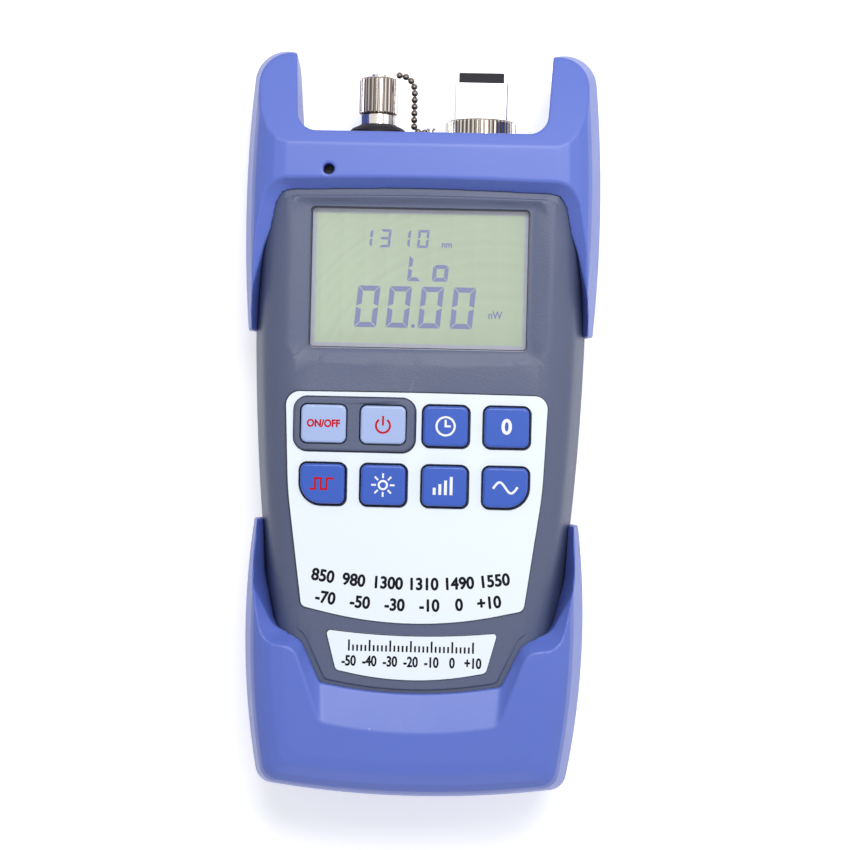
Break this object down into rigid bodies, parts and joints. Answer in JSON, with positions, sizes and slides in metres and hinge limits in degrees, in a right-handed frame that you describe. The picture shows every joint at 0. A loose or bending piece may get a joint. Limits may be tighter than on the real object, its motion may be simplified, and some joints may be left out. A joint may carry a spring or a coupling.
{
  "type": "optical power meter",
  "caption": "Hand-held optical power meter with a fault light, two ports between rubber ears, a segment display and a keypad.",
  "frame": {"origin": "centre of the meter's bottom, on the surface it lies on", "axes": "+Z out of the display, +Y towards the optical ports, +X to the right seen from the front"},
  "size_m": [0.0882, 0.1848, 0.037],
  "materials": {
    "case": "fine matt grey-blue moulding",
    "boot": "soft satin blue rubber",
    "label": "satin printed film",
    "window": "clear hard-coated plastic window",
    "lcd": "grey-green liquid crystal panel",
    "backlight": "milky light guide",
    "silicone": "matt silicone",
    "board": "green solder mask",
    "steel": "plated steel",
    "cell": "plain cell sleeve",
    "lamp": "dark red lens",
    "chrome": "bright nickel plate",
    "brass": "turned brass",
    "black": "black moulding",
    "light_key": "satin pale blue key",
    "blue_key": "satin blue key"
  },
  "bodies": {
    "meter": {"front_cover": "case", "rear_cover": "case", "top_boot": "boot", "bottom_boot": "boot", "keypad_label": "label", "name_label": "label", "display_window": "window", "display_panel": "lcd", "display_backlight": "backlight", "keypad_mat": "silicone", "main_board": "board", "case_screws": "steel", "board_screws": "steel", "battery_1": "cell", "battery_2": "cell", "battery_3": "cell", "cell_contacts": "steel", "indicator_lamp": "lamp", "end_plate": "case", "laser_port": "chrome", "laser_module": "brass", "port_washer": "black", "cap_chain": "chrome", "chain_anchor": "chrome", "detector_port": "chrome", "photodiode": "steel"},
    "power_key": {"light_key_1": "light_key"},
    "lamp_key": {"light_key_2": "light_key"},
    "key_1": {"blue_key_1": "blue_key"},
    "key_2": {"blue_key_2": "blue_key"},
    "key_3": {"blue_key_3": "blue_key"},
    "key_4": {"blue_key_4": "blue_key"},
    "key_5": {"blue_key_5": "blue_key"},
    "key_6": {"blue_key_6": "blue_key"},
    "battery_door": {"battery_door": "case"},
    "cap_swivel": {"cap_ring": "chrome"},
    "laser_cap": {"laser_cap": "chrome"},
    "adapter": {"square_adapter": "chrome"},
    "clamp_nut": {"adapter_nut": "chrome"},
    "plug": {"adapter_plug": "black"}
  },
  "joints": [
    {"name": "power_key_press", "type": "slide", "parent": "meter", "child": "power_key", "axis": [0, 0, -1], "range_m": [0, 0.0008], "stiffness_N_per_m": 400, "springref_m": -0.0002},
    {"name": "lamp_key_press", "type": "slide", "parent": "meter", "child": "lamp_key", "axis": [0, 0, -1], "range_m": [0, 0.0008], "stiffness_N_per_m": 400, "springref_m": -0.0002},
    {"name": "key_1_press", "type": "slide", "parent": "meter", "child": "key_1", "axis": [0, 0, -1], "range_m": [0, 0.0008], "stiffness_N_per_m": 400, "springref_m": -0.0002},
    {"name": "key_2_press", "type": "slide", "parent": "meter", "child": "key_2", "axis": [0, 0, -1], "range_m": [0, 0.0008], "stiffness_N_per_m": 400, "springref_m": -0.0002},
    {"name": "key_3_press", "type": "slide", "parent": "meter", "child": "key_3", "axis": [0, 0, -1], "range_m": [0, 0.0008], "stiffness_N_per_m": 400, "springref_m": -0.0002},
    {"name": "key_4_press", "type": "slide", "parent": "meter", "child": "key_4", "axis": [0, 0, -1], "range_m": [0, 0.0008], "stiffness_N_per_m": 400, "springref_m": -0.0002},
    {"name": "key_5_press", "type": "slide", "parent": "meter", "child": "key_5", "axis": [0, 0, -1], "range_m": [0, 0.0008], "stiffness_N_per_m": 400, "springref_m": -0.0002},
    {"name": "key_6_press", "type": "slide", "parent": "meter", "child": "key_6", "axis": [0, 0, -1], "range_m": [0, 0.0008], "stiffness_N_per_m": 400, "springref_m": -0.0002},
    {"name": "battery_door_swing", "type": "hinge", "parent": "meter", "child": "battery_door", "pos_m": [0, -0.0371, 0.0033], "axis": [-1, 0, 0], "range_deg": [0, 70]},
    {"name": "cap_lift", "type": "slide", "parent": "meter", "child": "cap_swivel", "axis": [0, 1, 0], "range_m": [0, 0.00479], "deforming": ["cap_chain"]},
    {"name": "cap_turn", "type": "hinge", "parent": "cap_swivel", "child": "laser_cap", "pos_m": [-0.0117, 0.08, 0.0185], "axis": [0, -1, 0], "range_deg": [0, 2300]},
    {"name": "adapter_lift", "type": "slide", "parent": "meter", "child": "adapter", "axis": [0, 1, 0], "range_m": [0, 0.00259]},
    {"name": "nut_turn", "type": "hinge", "parent": "adapter", "child": "clamp_nut", "pos_m": [0.0139, 0.073, 0.0185], "axis": [0, -1, 0], "range_deg": [0, 1245]},
    {"name": "plug_pull", "type": "slide", "parent": "adapter", "child": "plug", "axis": [0, 1, 0], "range_m": [0, 0.0095]}
  ],
  "couplings": [
    {"joint": "cap_turn", "follows": "cap_lift", "rad_per_m": 8377.6},
    {"joint": "nut_turn", "follows": "adapter_lift", "rad_per_m": 8377.6}
  ]
}
